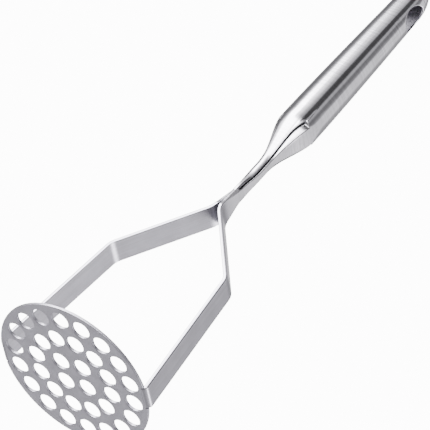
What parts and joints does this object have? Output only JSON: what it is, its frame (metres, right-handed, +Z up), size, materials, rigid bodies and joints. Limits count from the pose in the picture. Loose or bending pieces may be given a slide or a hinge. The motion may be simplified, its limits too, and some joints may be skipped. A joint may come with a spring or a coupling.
{
  "type": "potato masher",
  "caption": "Hand potato masher: round perforated plate on two bent flat straps, joined to a hollow tapered steel handle with a hanging hole.",
  "frame": {"origin": "centre of the plate's flat underside, the face that presses on the food", "axes": "+Z up the handle from the plate to the domed tip; X across the two legs, with the right leg on +X; Y across the width of the flat straps"},
  "size_m": [0.0816, 0.08, 0.305],
  "materials": {
    "plate_steel": "satin, fine even grain",
    "strap_steel": "satin with bright edges",
    "weld_steel": "ground weld metal",
    "handle_steel": "polished stainless steel with fine lengthwise grain"
  },
  "bodies": {
    "root": {"masher_plate": "plate_steel", "left_leg": "strap_steel", "right_leg": "strap_steel", "left_foot_weld": "weld_steel", "right_foot_weld": "weld_steel", "neck_weld": "weld_steel", "handle_tube": "handle_steel", "handle_end_cap": "handle_steel"}
  },
  "joints": []
}
